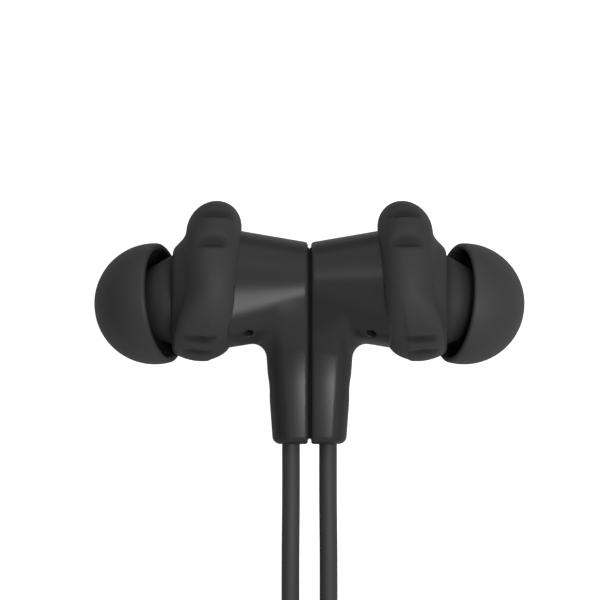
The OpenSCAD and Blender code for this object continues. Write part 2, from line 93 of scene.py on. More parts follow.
# The arms' frame: x to the outer side, y forward from the end of the arch, z up.
ARCH_R = 60
BAND_T = 3.4
BAND_H = 7.0
GRIP_EXTRA = 0.5
TOE_IN = math.radians(4)
ARCH_Y = box_mm("band_grip")[1][1] - ARCH_R - BAND_T / 2 - GRIP_EXTRA
ARM_SPAN = 94             # degrees of arch from the back to the arm
POD_LEN = 58
GLAND_LEN = 9
GLAND_R = 2.6             # radius of the gland at the pod
GLAND_TIP_R = 1.45
GLAND_Z = 4.6
gland_low = box_mm("right_cord_gland")[0][1]
ARM_TOTAL = (ARCH_Y - ARCH_R * math.sin(TOE_IN) - gland_low
             - GLAND_TIP_R * math.sin(TOE_IN)) / math.cos(TOE_IN)
ARM_LEN = ARM_TOTAL - POD_LEN - GLAND_LEN


def arch_point(degrees):
    a = math.radians(degrees)
    return np.array([ARCH_R * math.sin(a), ARCH_Y + ARCH_R * math.cos(a)])


def arm_to_frame(points, side):
    p = np.asarray(points, float).reshape(-1, 3)
    c, s = math.cos(TOE_IN), math.sin(TOE_IN)
    x0, y0 = arch_point(ARM_SPAN)
    return np.column_stack((side * (x0 + p[:, 0] * c - p[:, 1] * s),
                            y0 - p[:, 0] * s - p[:, 1] * c, p[:, 2])) * MM


# ---- camera ----

CAMERA_DISTANCE = 0.6
VIEW_WIDTH = 0.06316
VIEW_CENTRE = (-1.0, -1.2, 0.0)  # the middle of the picture, in the buds' frame
SENSOR = 36

camera_data = bpy.data.cameras.new("camera")
camera_data.sensor_width = SENSOR
camera_data.lens = SENSOR * CAMERA_DISTANCE / VIEW_WIDTH
camera_data.clip_start = 0.05
camera_data.clip_end = 20
camera = bpy.data.objects.new("camera", camera_data)
bpy.context.scene.collection.objects.link(camera)
target = Vector(bud_to_frame(VIEW_CENTRE, 1)[0])
camera.location = target + CAMERA_DISTANCE * Vector((0, -math.sin(LEAN), math.cos(LEAN)))
camera.rotation_euler = (LEAN, 0, 0)
bpy.context.scene.camera = camera
bpy.context.scene.view_settings.view_transform = "Standard"


# ---- mesh helpers ----

def new_piece(name, points, faces, material):
    """A smooth mesh piece from points in metres, its faces turned outwards."""
    faces = faces.tolist() if isinstance(faces, np.ndarray) else faces
    mesh = bpy.data.meshes.new(name)
    mesh.from_pydata(np.asarray(points).tolist(), [], faces)
    solid = bmesh.new()
    solid.from_mesh(mesh)
    if solid.calc_volume(signed=True) < 0:
        bmesh.ops.reverse_faces(solid, faces=solid.faces)
    solid.to_mesh(mesh)
    solid.free()
    mesh.polygons.foreach_set("use_smooth", [True] * len(mesh.polygons))
    mesh.materials.append(material)
    mesh.update()
    piece = bpy.data.objects.new(name, mesh)
    bpy.context.scene.collection.objects.link(piece)
    return piece


def surface_net(field, low, high, step):
    """Points and quads of the surface where field is zero, in the field's own units."""
    axes = [np.arange(low[k], high[k] + step, step) for k in range(3)]
    value = field(np.stack(np.meshgrid(*axes, indexing="ij"), -1))
    places, live = net_places(value)
    points = np.array(low) + step * places
    for _ in range(3):
        points = points - step_to_surface(field, points, step)
    return points, net_quads(value < 0, live)


def net_places(value):
    """The mean place, in cells, where the surface crosses the edges of each cell that it enters."""
    cell = np.array(value.shape) - 1
    corner = {}
    for a in np.ndindex(2, 2, 2):
        corner[a] = value[tuple(slice(a[m], a[m] + cell[m]) for m in range(3))]
    total = np.zeros(tuple(cell) + (3,), np.float32)
    count = np.zeros(tuple(cell), np.float32)
    for a in corner:
        for axis in range(3):
            if a[axis]:
                continue
            b = tuple(1 if m == axis else a[m] for m in range(3))
            va, vb = corner[a], corner[b]
            crosses = (va < 0) != (vb < 0)
            t = np.where(crosses, va / np.where(crosses, va - vb, 1), 0)
            for m in range(3):
                total[..., m] += np.where(crosses, a[m] + (t if m == axis else 0), 0)
            count += crosses
    live = count > 0
    return np.argwhere(live) + total[live] / count[live][:, None], live


def net_quads(inside, live):
    """A quad between the four cells round each grid edge that the surface crosses."""
    index = np.full(live.shape, -1)
    index[live] = np.arange(live.sum())
    quads = []
    for axis in range(3):
        p, q = (axis + 1) % 3, (axis + 2) % 3
        first = inside[tuple(slice(0, -1) if m == axis else slice(1, -1) for m in range(3))]
        second = inside[tuple(slice(1, None) if m == axis else slice(1, -1) for m in range(3))]
        spot = np.argwhere(first != second)
        leaving = first[tuple(spot.T)]
        spot[:, p] += 1
        spot[:, q] += 1
        ring = []
        for dp, dq in ((0, 0), (1, 0), (1, 1), (0, 1)):
            at = spot.copy()
            at[:, p] -= dp
            at[:, q] -= dq
            ring.append(index[tuple(at.T)])
        ring = np.column_stack(ring)
        ring[~leaving] = ring[~leaving][:, ::-1]
        quads.append(ring)
    return np.concatenate(quads)


def step_to_surface(field, points, step):
    """The move that takes each point back on to the surface, at most half a step long."""
    e = 0.01
    here = field(points)
    slope = np.stack([(field(points + e * np.eye(3)[k]) - here) / e for k in range(3)], -1)
    move = here[:, None] * slope / np.maximum((slope ** 2).sum(-1), 0.05)[:, None]
    length = np.linalg.norm(move, axis=1)
    return move * np.minimum(1, 0.5 * step / np.maximum(length, 1e-9))[:, None]


def grid_faces(rings, sides, closed=False):
    """Quads between rings of equal count; closed joins the last ring to the first."""
    i, k = np.meshgrid(np.arange(rings if closed else rings - 1), np.arange(sides), indexing="ij")
    i, k = i.ravel(), k.ravel()
    j, m = (i + 1) % rings, (k + 1) % sides
    return np.column_stack((i * sides + k, j * sides + k, j * sides + m, i * sides + m))


def capped(rings):
    """Points and faces of a solid through rings of points, each end closed by one face."""
    rings = np.asarray(rings)
    count, sides = rings.shape[:2]
    faces = grid_faces(count, sides).tolist()
    faces.append(list(range(sides)))
    faces.append(list(range(count * sides - 1, (count - 1) * sides - 1, -1)))
    return rings.reshape(-1, 3), faces


def lathe(profile, steps=96):
    """Points and quads of a closed profile of (radius, length) turned about the third axis."""
    profile = np.asarray(profile, float)
    angle = 2 * math.pi * np.arange(steps) / steps
    points = np.stack([np.outer(np.cos(angle), profile[:, 0]),
                       np.outer(np.sin(angle), profile[:, 0]),
                       np.tile(profile[:, 1], (steps, 1))], -1).reshape(-1, 3)
    return points, grid_faces(steps, len(profile), closed=True)[:, ::-1]


def rounded(profile, steps=5):
    """A closed profile of (r, z, radius): each corner becomes a curve that starts radius away."""
    out = []
    for k, (r, z, radius) in enumerate(profile):
        here = np.array([r, z], float)
        if radius == 0:
            out.append(here)
            continue
        before = np.array(profile[k - 1][:2]) - here
        after = np.array(profile[(k + 1) % len(profile)][:2]) - here
        a = here + before / np.linalg.norm(before) * radius
        b = here + after / np.linalg.norm(after) * radius
        for t in np.linspace(0, 1, steps):
            out.append((1 - t) ** 2 * a + 2 * t * (1 - t) * here + t ** 2 * b)
    return out


def smooth(x):
    """0 up to 0, 1 from 1, and a smooth S between."""
    x = np.clip(x, 0, 1)
    return x * x * (3 - 2 * x)


# ---- fields: negative inside, in mm ----

def round_union(a, b, r):
    """a and b together, the valley between them filled with radius r."""
    return np.maximum(np.minimum(a, b), r) - np.hypot(np.maximum(r - a, 0), np.maximum(r - b, 0))


def round_cut(a, b, r):
    """The part of a inside b, the edge between them rounded by r."""
    return np.minimum(np.maximum(a, b), -r) + np.hypot(np.maximum(a + r, 0), np.maximum(b + r, 0))


def round_box(x, y, hx, hy, r):
    """A rectangle of half sizes hx and hy with corners of radius r."""
    qx, qy = np.abs(x) - hx + r, np.abs(y) - hy + r
    return np.hypot(np.maximum(qx, 0), np.maximum(qy, 0)) + np.minimum(np.maximum(qx, qy), 0) - r


def two_balls(p, a, b, ra, rb):
    """The hull of two balls."""
    length = np.linalg.norm(b - a)
    axis = (b - a) / length
    z = (p - a) @ axis
    r = np.linalg.norm(p - a - z[..., None] * axis, axis=-1)
    s = (ra - rb) / length
    c = math.sqrt(1 - s * s)
    start = z * c - r * s
    return np.where(start < 0, np.hypot(r, z) - ra,
                    np.where(start > length * c, np.hypot(r, z - length) - rb, r * c + z * s - ra))


# ---- materials ----

def node(tree, kind, **values):
    made = tree.nodes.new(kind)
    for key, value in values.items():
        if key in made.inputs:
            made.inputs[key].default_value = value
        else:
            setattr(made, key, value)
    return made


def shade(name, colour, roughness, grain=0.2, depth=0.004, mottle=0.08, mottle_mm=3.0,
          rough_spread=0.05, metallic=0.0, specular=0.5, coat=0.0, stretch=(1, 1, 1), sheen=0.0,
          wear=0.0, painted_shade=0.0):
    """A procedural material: fine grain as bump, slow mottling of colour and gloss, worn edges.

    grain and mottle_mm are sizes in mm, and depth is the grain's height in mm. dull is painted shade:
    how much darker the surface is painted where the piece's own attribute "hollow" is 1.
    """
    material = bpy.data.materials.new(name)
    material.use_nodes = True
    tree = material.node_tree
    link = tree.links.new
    shader = tree.nodes["Principled BSDF"]
    shader.inputs["Metallic"].default_value = metallic
    shader.inputs["Specular IOR Level"].default_value = specular
    shader.inputs["Coat Weight"].default_value = coat
    shader.inputs["Sheen Weight"].default_value = sheen
    shader.inputs["Sheen Roughness"].default_value = 0.5
    where = node(tree, "ShaderNodeTexCoord")
    spread = node(tree, "ShaderNodeMapping", Scale=stretch)
    link(where.outputs["Object"], spread.inputs["Vector"])
    slow = node(tree, "ShaderNodeTexNoise", Scale=1 / (mottle_mm * MM), Detail=4, Roughness=0.6)
    fine = node(tree, "ShaderNodeTexNoise", Scale=1 / (grain * MM), Detail=3, Roughness=0.65)
    both = node(tree, "ShaderNodeMix", Factor=0.5)
    for noise, socket in ((slow, "A"), (fine, "B")):
        link(spread.outputs["Vector"], noise.inputs["Vector"])
        link(noise.outputs["Fac"], both.inputs[socket])
    tint = node(tree, "ShaderNodeMix", data_type="RGBA")
    tint.inputs["A"].default_value = [c * (1 - mottle) for c in colour] + [1]
    tint.inputs["B"].default_value = [c * (1 + mottle) for c in colour] + [1]
    link(both.outputs["Result"], tint.inputs["Factor"])
    base = tint
    if wear:
        edge = node(tree, "ShaderNodeNewGeometry")
        rub = node(tree, "ShaderNodeMapRange")
        rub.inputs["From Min"].default_value = 0.53
        rub.inputs["From Max"].default_value = 0.62
        rub.inputs["To Max"].default_value = wear
        link(edge.outputs["Pointiness"], rub.inputs["Value"])
        base = node(tree, "ShaderNodeMix", data_type="RGBA")
        base.inputs["B"].default_value = [min(1, c * 1.7 + 0.004) for c in colour] + [1]
        link(tint.outputs["Result"], base.inputs["A"])
        link(rub.outputs["Result"], base.inputs["Factor"])
    # Painted shade: the colour is darkened where the attribute "hollow" marks the fin's hollows, in place of the shade
    # that falls there.
    if painted_shade:
        deep = node(tree, "ShaderNodeAttribute", attribute_name="hollow")
        dark = node(tree, "ShaderNodeMix", data_type="RGBA")
        dark.inputs["B"].default_value = [c * (1 - painted_shade) for c in colour] + [1]
        link(base.outputs["Result"], dark.inputs["A"])
        link(deep.outputs["Fac"], dark.inputs["Factor"])
        base = dark
    link(base.outputs["Result"], shader.inputs["Base Color"])
    gloss = node(tree, "ShaderNodeMapRange")
    gloss.inputs["From Min"].default_value = 0.3
    gloss.inputs["From Max"].default_value = 0.7
    gloss.inputs["To Min"].default_value = roughness - rough_spread
    gloss.inputs["To Max"].default_value = roughness + rough_spread
    link(both.outputs["Result"], gloss.inputs["Value"])
    link(gloss.outputs["Result"], shader.inputs["Roughness"])
    bump = node(tree, "ShaderNodeBump", Strength=1.0, Distance=depth * MM)
    link(fine.outputs["Fac"], bump.inputs["Height"])
    link(bump.outputs["Normal"], shader.inputs["Normal"])
    return material


BUD_PLASTIC = shade("bud_plastic", (0.026, 0.026, 0.0265), 0.32, grain=0.16, depth=0.002,
                    mottle=0.06, mottle_mm=4, rough_spread=0.02, specular=0.26)
NECK_PLASTIC = shade("neck_plastic", (0.030, 0.030, 0.0305), 0.62, grain=0.14, depth=0.004,
                     mottle_mm=3, specular=0.3)
POD_PLASTIC = shade("pod_plastic", (0.026, 0.026, 0.027), 0.42, grain=0.2, depth=0.006,
                    mottle_mm=7, wear=0.3)
# The fin silicone is painted 65 per cent darker deep in the fin's hollows: painted shade.
FIN_SILICONE = shade("fin_silicone", (0.035, 0.035, 0.0355), 0.62, grain=0.12, depth=0.005,
                     mottle_mm=1.5, specular=0.35, sheen=0.02, painted_shade=0.65)
TIP_SILICONE = shade("tip_silicone", (0.042, 0.042, 0.0425), 0.55, grain=0.14, depth=0.003,
                     mottle=0.07, mottle_mm=2.5, specular=0.35, sheen=0.02)
BAND_SILICONE = shade("band_silicone", (0.034, 0.034, 0.035), 0.58, grain=0.18, depth=0.008,
                      mottle=0.10, mottle_mm=9, rough_spread=0.06, specular=0.4, sheen=0.02)
CORD_JACKET = shade("cord_jacket", (0.039, 0.039, 0.039), 0.58, grain=0.1, depth=0.003,
                    mottle_mm=2)
MARKER = shade("marker", (0.10, 0.10, 0.103), 0.4, grain=0.1, mottle=0.05)
BUTTON = shade("button", (0.034, 0.034, 0.035), 0.36, grain=0.12, wear=0.3)
STEEL = shade("steel", (0.50, 0.50, 0.51), 0.30, grain=0.08, mottle=0.1, metallic=1.0,
              stretch=(0.15, 1, 1))
MESH = shade("mesh", (0.12, 0.12, 0.12), 0.4, grain=0.07, depth=0.05, mottle=0.4, metallic=1.0)
VENT = shade("vent", (0.006, 0.006, 0.006), 0.7, grain=0.07, depth=0.03, mottle=0.4)
BOARD = shade("board", (0.012, 0.09, 0.035), 0.35, grain=0.3, depth=0.02, mottle=0.3, coat=0.4)
COPPER = shade("driver_cup", (0.62, 0.44, 0.24), 0.3, grain=0.1, mottle=0.1, metallic=1.0)
POUCH = shade("battery_pouch", (0.55, 0.56, 0.58), 0.28, grain=0.5, depth=0.03, metallic=0.9)
LIGHT_PIPE = shade("light_pipe", (0.55, 0.57, 0.6), 0.2, mottle=0.05, coat=0.5)

NODE_LOOKS = {
    STEEL: ["band_core", "arm_core", "pod_screws", "charge_port", "radio_shield", "magnet",
            "vibration_motor", "key_switches", "power_switch"],
    COPPER: ["driver"], POUCH: ["battery"], BOARD: ["power_board", "main_board"],
    LIGHT_PIPE: ["status_light"], MESH: ["nozzle_mesh", "microphone_mesh"], VENT: ["vent_mesh"],
    BUD_PLASTIC: ["dock_plate", "bud_shell", "front_housing"],
    CORD_JACKET: ["stem_grommet", "cord_gland", "port_flap", "cord"],
    BAND_SILICONE: ["band_grip", "band_sleeve", "arm_sleeve"],
    POD_PLASTIC: ["pod_upper", "pod_lower"], MARKER: ["side_marker"],
    BUTTON: ["power_key", "volume_up_key", "play_key", "volume_down_key"],
    FIN_SILICONE: ["ear_fin"], TIP_SILICONE: ["ear_tip"],
}
for look, kinds in NODE_LOOKS.items():
    for name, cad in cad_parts.items():
        if name.removeprefix("left_").removeprefix("right_") in kinds:
            cad.data.materials.clear()
            cad.data.materials.append(look)


# ---- cords ----

# The right cord's route in mm, from its stem to its gland.
ROUTE = [(1.95, -17, 3.3), (2, -23, 1.8), (2, -31, 1), (2, -42, 0.96), (2, -56, 0.96),
         (2.2, -72, 0.96), (2.4, -88, 0.96), (2.7, -103, 0.96), (3.8, -117, 0.96),
         (7.4, -129, 0.96), (15.4, -138, 0.96), (26.6, -141.4, 0.96), (37.6, -138.4, 0.96),
         (46, -130, 0.96), (50, -118.4, 0.96), (51.1, -107, 1.5), (51.6, -97, 3.3)]
STEM_LEN = 16.3
CORD_U = 1.95             # the cord's place across the stem
CORD_D = 1.88
CORD_SIDES = 20
CORD_STEPS = 10           # rings between two points of the route
CORD_IN_STEM = 2.5        # how far the cord reaches into the stem
CORD_IN_GLAND = 3         # and into its gland


def spline(points, steps):
    """A smooth line through points, with steps rings from each to the next."""
    p = np.asarray(points, float)
    out = []
    for i in range(len(p) - 1):
        a, b, c, d = p[max(i - 1, 0)], p[i], p[i + 1], p[min(i + 2, len(p) - 1)]
        for t in np.arange(steps) / steps:
            out.append(0.5 * (2 * b + (c - a) * t + (2 * a - 5 * b + 4 * c - d) * t * t
                              + (3 * b - a - 3 * c + d) * t ** 3))
    return np.array(out + [p[-1]])


def tube(path, radius, sides):
    """Points and faces of a round tube along a path."""
    along = np.gradient(path, axis=0)
    along /= np.linalg.norm(along, axis=1)[:, None]
    across = np.cross(along, (0, 0, 1.0))
    across /= np.linalg.norm(across, axis=1)[:, None]
    up = np.cross(across, along)
    angle = 2 * math.pi * np.arange(sides) / sides
    return capped(path[:, None] + radius * (across[:, None] * np.cos(angle)[None, :, None]
                                            + up[:, None] * np.sin(angle)[None, :, None]))


def make_cord(side_name, side):
    in_stem, stem_end = bud_to_frame([(CORD_U, -STEM_LEN + CORD_IN_STEM, 0),
                                      (CORD_U, -STEM_LEN, 0)], 1)
    gland_end, in_gland = arm_to_frame([(0, ARM_TOTAL, GLAND_Z),
                                        (0, ARM_TOTAL - CORD_IN_GLAND, GLAND_Z)], 1)
    path = spline(np.vstack([in_stem, stem_end, np.array(ROUTE) * MM, gland_end, in_gland]),
                  CORD_STEPS)[::-1]
    mirror = np.array([side, 1, 1])
    points, faces = tube(path, CORD_D / 2 * MM, CORD_SIDES)
    piece = new_piece(side_name + "_cord_jacket", points * mirror, faces, CORD_JACKET)
    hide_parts(side_name + "_cord")
    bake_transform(piece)


for side_name, side in SIDES.items():
    make_cord(side_name, side)


# ---- buds: barrel and stem ----

DOCK_R = 4.85             # radius of a barrel at the docking plane
DOCK_GAP = 0.0005         # half the gap between the docked buds
DOCK_RECESS = 1.12        # depth of the recess that the dock plate fills
DOCK_RECESS_R = 3.93
REBATE = 0.17             # depth of the rebate round the docking face
REBATE_IN = 0.6           # how far the rebate reaches in from the outside
FLARE = math.tan(math.radians(9.7))  # slope of the barrel's wall
UNDER_FLARE = 0.014       # how much less the barrel flares underneath
BARREL_END = 9
BARREL_FLAT = 0.086       # growth of the barrel's superellipse power with u
BARREL_LIFT = 0.186       # drop of the barrel's foremost line with u
RIM_AT = 8.3              # where that growth and drop start to fade
RIM_SPAN = 0.7
RIM_FADE = 0.4            # the part of them that fades
VENT_U = 6.4
VENT_ANGLE = math.radians(45.5)  # how far the vent is turned down from the front
VENT_R = 0.5
VENT_FROM = 4.0           # the vent's inner end, from the barrel's axis
STEM_OUT = 4.46           # the stem's outer side at STEM_OUT_V
STEM_OUT_V = -8.05
STEM_SPREAD = 0.073       # growth of the stem's outer side with v
STEM_IN = 2.5             # how far its section reaches in, before the docking cut
STEM_DEPTH = 2.7          # half its depth at its end
STEM_TAPER = 0.045        # growth of that half depth with v
STEM_ROUND = 1.8          # radius of its long edges
STEM_END_ROUND = 0.75
STEM_CREST = 1.5          # where the stem is deepest, from the docking plane
CREST_BOW = 0.055         # how fast its front falls away across the stem
CREST_V = -10             # above this the front rises, below it the front falls
CREST_RISE = 0.022
CREST_FALL = 0.006
STEM_TOP = 2.2            # depth of the stem's rounded top below the barrel's axis
STEM_TOP_ROUND = 2.4
STEM_JOIN = 1.7           # radius of the blend from stem to barrel
SEAM_U = 4.4              # nearer the docking plane the top drops and the blend widens
SEAM_SPAN = 2
SEAM_DROP = 0.8
SEAM_WIDEN = 0.7
COLLAR_HOLE_R = 1.47
COLLAR_HOLE = 2.9         # depth of the collar's hole in the stem's end
MARKER_V = -10.5
MARKER_W = 0.15
MARKER_R = 0.86
MARKER_T = 0.4
MARKER_BALL = 2.62        # radius of the ball that dishes the stem's side
MARKER_OUT = 2.28         # how far its centre is outside the stem
BUD_STEP = 0.13


def stem_out(v):
    return STEM_OUT + (v - STEM_OUT_V) * STEM_SPREAD


def barrel_field(u, v, w):
    """The barrel starts round, and its front grows flatter and faces higher as it flares."""
    flared = np.maximum(u, 0) * (1 - RIM_FADE * smooth((u - RIM_AT) / RIM_SPAN))
    power = 2 + BARREL_FLAT * flared
    size = DOCK_R + u * FLARE
    lifted = v + BARREL_LIFT * flared * np.maximum(1 - (v / size) ** 2, 0)
    flat = (np.abs(lifted) ** power + np.abs(w) ** power + 1e-9) ** (1 / power)
    under = np.maximum(-v / np.maximum(np.hypot(v, w), 1e-6), 0) ** 4
    barrel = (flat - DOCK_R - u * (FLARE - UNDER_FLARE * under)) * math.cos(math.atan(FLARE))
    return np.maximum(barrel, u - BARREL_END)


def stem_field(u, v, w, inner):
    """The stem, deepest along its crest; inner is 1 beside the docking plane."""
    out = stem_out(v)
    crown = ((u - STEM_CREST) ** 2 * CREST_BOW
             + (v - CREST_V) ** 2 * np.where(v > CREST_V, -CREST_RISE, CREST_FALL))
    depth = STEM_DEPTH + (v + STEM_LEN) * STEM_TAPER
    stem = round_box(u - (out - STEM_IN) / 2, np.abs(w) + crown, (out + STEM_IN) / 2, depth,
                     STEM_ROUND)
    stem = round_cut(stem, -v - STEM_LEN - 0.04, STEM_END_ROUND)
    return round_cut(stem, v + STEM_TOP + SEAM_DROP * inner, STEM_TOP_ROUND)


def bud_shell_field(p):
    u, v, w = p[..., 0], p[..., 1], p[..., 2]
    inner = smooth((SEAM_U - u) / SEAM_SPAN)
    body = round_union(barrel_field(u, v, w), stem_field(u, v, w, inner),
                       STEM_JOIN + SEAM_WIDEN * inner)
    # A rebate round the docking face leaves a dark line between the two buds.
    rebate = REBATE * smooth((body + REBATE_IN) / 0.12)
    body = round_cut(body, DOCK_GAP + rebate - u, 0.3)
    recess = np.maximum(np.hypot(v, w) - DOCK_RECESS_R, u - DOCK_RECESS)
    body = round_cut(body, -recess, 0.06)
    c, s = math.cos(VENT_ANGLE), math.sin(VENT_ANGLE)
    vent = np.maximum(np.hypot(u - VENT_U, v * c + w * s) - VENT_R, VENT_FROM + v * s - w * c)
    body = round_cut(body, -vent, 0.14)
    collar = np.maximum(np.hypot(u - CORD_U, w) - COLLAR_HOLE_R, v + STEM_LEN - COLLAR_HOLE)
    body = round_cut(body, -collar, 0.12)
    dish = np.sqrt((u - stem_out(MARKER_V) - MARKER_OUT) ** 2 + (v - MARKER_V) ** 2
                   + (w - MARKER_W) ** 2) - MARKER_BALL
    return round_cut(body, -dish, 0.12)


# ---- buds: ear fin and sleeve ----

FIN_AT = 10.5             # where the fin's middle plane is, at mid height and unbowed
FIN_SHEAR = 0.103         # its lean outwards to the stem side
FIN_ENDS_OUT = 0.2        # how far the fin's ends bow outwards
FIN_BOW = 0.5             # how much further in than its ends the waist is
FIN_HALF = 2.9
FIN_WAIST = 0.35          # how much narrower the fin is at mid height
WAIST_REACH = 3.2         # how far the waist reaches up and down
FIN_FOOT = 5.65           # radius at the foot of the fin's rounded section
FIN_RISE = 1.95           # height of that section
TOP_FOOT = 0.55           # what the foot and the height gain at the top of the fin
TOP_RISE = 1.1
LOW_FOOT = 1.15           # what the foot gains and the height loses low on both sides
FIN_JOIN = 0.5            # radius of the blend from fin to sleeve
FIN_JOIN_LOW = 0.8        # what it gains below
SLEEVE_A = np.array([8.7, 0, 0])
SLEEVE_A_R = 6.95
SLEEVE_B = np.array([12.3, -1.4, -1.9])
SLEEVE_B_R = 5.35
SLEEVE_END = 14.4
SLEEVE_BORE_END = 9.5     # how far the sleeve's bore runs, over the barrel
NECK_START = 4.8          # where the nozzle's neck begins inside the sleeve
NECK_R = 4.62             # radius of the neck at NECK_R_AT
NECK_R_AT = 6.85
NECK_TAPER = 0.385
# Thumb-nail hollows: degrees round from the top, place across, half width, half length, depth
FIN_HOLLOWS = [(21, -0.12, 1.9, 1.2, 0.6), (48, 0.03, 1.8, 1.2, 0.42),
               (138, 0.28, 1.85, 1.0, 0.4), (156, 0.42, 1.8, 1.2, 0.4)]
HOLLOW_AT_R = 8.1         # radius at which a hollow's length is measured


def fin_section(v, w, rho):
    """Radius at the foot of the fin's rounded section and the section's rise, round the barrel."""
    lift = np.maximum(v / np.maximum(rho, 1e-6), 0) ** 3
    low = LOW_FOOT * np.clip(-2 * v * np.abs(w) / np.maximum(rho ** 2, 1e-6), 0, 1)
    return FIN_FOOT + TOP_FOOT * lift + low, FIN_RISE + TOP_RISE * lift - low


def across_fin(u, v):
    """How far a point is from the fin's middle plane, and how near the fin's waist, 0 to 1."""
    waist = np.exp(-(v / WAIST_REACH) ** 2)
    return u - FIN_AT + FIN_SHEAR * v - FIN_ENDS_OUT + FIN_BOW * waist, waist


def hollows(p):
    """Depth of the fin's hollows, gentle from the fin's end and steep towards its waist, and the painted shade laid in
    them.
    """
    v, w = p[..., 1], p[..., 2]
    rho = np.hypot(v, w)
    around = np.degrees(np.arccos(np.clip(v / np.maximum(rho, 1e-6), -1, 1)))
    x = across_fin(p[..., 0], v)[0]
    depth, dark = np.zeros(x.shape), np.zeros(x.shape)
    for at, across, half_across, half_round, deep in FIN_HOLLOWS:
        # t runs from -1 at the hollow's end nearer the fin's end to 1 nearer the waist.
        t = np.radians(around - at) * HOLLOW_AT_R / half_round
        t = t if at < 90 else -t
        lens = np.clip(1 - ((x - across) / half_across) ** 2, 0, 1)
        depth += deep * lens ** 1.5 * smooth((t + 1) / 1.5) * smooth((1.2 - t) / 0.7)
        # Painted shade: a dark lens over each hollow, where the shade falls.
        dark += np.sqrt(lens) * smooth((t + 0.6 * np.sqrt(lens)) / 0.7) * smooth((1.1 - t) / 0.3)
    # They are on the front only, and only where the fin stands out of its sleeve.
    shown = smooth(w / 1.5 + 1) * smooth((rho - 5.2) / 0.8)
    return depth * shown, dark * shown


def fin_band_field(x, waist, rho, foot, rise):
    """The fin without its sleeve: a rounded section swept round the barrel."""
    half = FIN_HALF - FIN_WAIST * waist
    over = np.maximum(rho - foot, 0)
    k = np.hypot(x / half, over / rise)
    slope = np.hypot(x / half ** 2, over / rise ** 2)
    return k * (k - 1) / np.maximum(slope, 1e-3)


def ear_fin_field(p):
    u, v, w = p[..., 0], p[..., 1], p[..., 2]
    rho = np.hypot(v, w)
    x, waist = across_fin(u, v)
    band = fin_band_field(x, waist, rho, *fin_section(v, w, rho))
    sleeve = two_balls(p, SLEEVE_A, SLEEVE_B, SLEEVE_A_R, SLEEVE_B_R)
    sleeve = round_cut(sleeve, u - SLEEVE_END, 0.3)
    sleeve = np.maximum(sleeve, -x)
    body = round_union(band, sleeve, FIN_JOIN + FIN_JOIN_LOW * smooth((0.5 - v) / 5))
    body = np.maximum(body, u - SLEEVE_END - 0.05)
    body = body + hollows(p)[0]
    bore = np.maximum(rho - DOCK_R - u * FLARE - 0.03, u - SLEEVE_BORE_END)
    body = np.maximum(body, -bore)
    q = p - NOZZLE_AT
    along = q @ NOZZLE_DIR
    off_axis = np.linalg.norm(q - along[..., None] * NOZZLE_DIR, axis=-1)
    neck = np.maximum(off_axis - neck_radius(along) - 0.04, NECK_START - along)
    return np.maximum(body, -neck)


def neck_radius(z):
    """The neck narrows as a cone from the sleeve to the ear tip's inner tube."""
    return NECK_R - NECK_TAPER * (z - NECK_R_AT)


# ---- buds: nozzle and ear tip ----

NECK_END = 9.15
NOZZLE_R = 2.05
NOZZLE_BORE = 1.52
NOZZLE_END = 13.2
NOZZLE_FLOOR = 12.2       # the bottom of the nozzle's bore
BARB_R = 2.27
TIP_R = 6.425
TIP_CENTRE = 8.87
TIP_WALL = 0.65
TIP_SKIRT = -8            # degrees round the dome at which the skirt ends


def nozzle_profile():
    return rounded([(0, NECK_START, 0), (neck_radius(NECK_START), NECK_START, 0),
                    (neck_radius(NECK_END), NECK_END, 0.5),
                    (NOZZLE_R, NECK_END, 0.15), (NOZZLE_R, 11.2, 0), (BARB_R, 11.7, 0.12),
                    (NOZZLE_R, 12.7, 0), (NOZZLE_R, NOZZLE_END, 0.12),
                    (NOZZLE_BORE, NOZZLE_END, 0.08), (NOZZLE_BORE, NOZZLE_FLOOR, 0),
                    (0, NOZZLE_FLOOR, 0)])


def ear_tip_profile():
    """The dome with its skirt, the inner tube that grips the nozzle, and the mouth."""
    def arc(r, start, end, steps):
        return [(r * math.cos(a), TIP_CENTRE + r * math.sin(a))
                for a in np.radians(np.linspace(start, end, steps))]

    half = TIP_WALL / 2
    rim = []
    for a in np.linspace(0, math.pi, 9)[1:-1]:
        r = TIP_R - half - half * math.cos(a)
        t = math.radians(TIP_SKIRT) - half * math.sin(a) / TIP_R
        rim.append((r * math.cos(t), TIP_CENTRE + r * math.sin(t)))
    top = TIP_CENTRE + 5.94
    mouth = [(2.28, top), (2.12, top - 0.14), (2.1, top - 0.36), (2.1, 13.5), (2.3, 13.4),
             (2.3, 9.5), (2.42, 9.25), (2.7, 9.18), (2.98, 9.25), (3.1, 9.5), (3.1, 12.9),
             (3.3, 13.2)]
    return (arc(TIP_R, TIP_SKIRT, 66, 33) + mouth + arc(TIP_R - TIP_WALL, 50, TIP_SKIRT, 25)
            + rim)


def marker_profile():
    """A thin disc that follows the dish in the stem's side; its length runs outwards."""
    r = np.linspace(0, MARKER_R, 7)
    dish = MARKER_OUT - np.sqrt((MARKER_BALL - 0.03) ** 2 - r ** 2)
    return [*zip(r, dish), (MARKER_R, dish[-1] - MARKER_T), (0, dish[0] - MARKER_T)]


def net_piece(name, field, low, high, step, place, side, material):
    points, quads = surface_net(field, low, high, step)
    return new_piece(name, place(points, side), quads, material)


def fin_piece(name, side):
    """The fin with its sleeve; its attribute "hollow" carries painted shade and is 1 deep in the hollows."""
    points, quads = surface_net(ear_fin_field, (6.2, -9, -9), (15, 10, 9), BUD_STEP)
    piece = new_piece(name, bud_to_frame(points, side), quads, FIN_SILICONE)
    deep = piece.data.attributes.new("hollow", "FLOAT", "POINT")
    deep.data.foreach_set("value", np.clip(hollows(points)[1], 0, 1))
    return piece


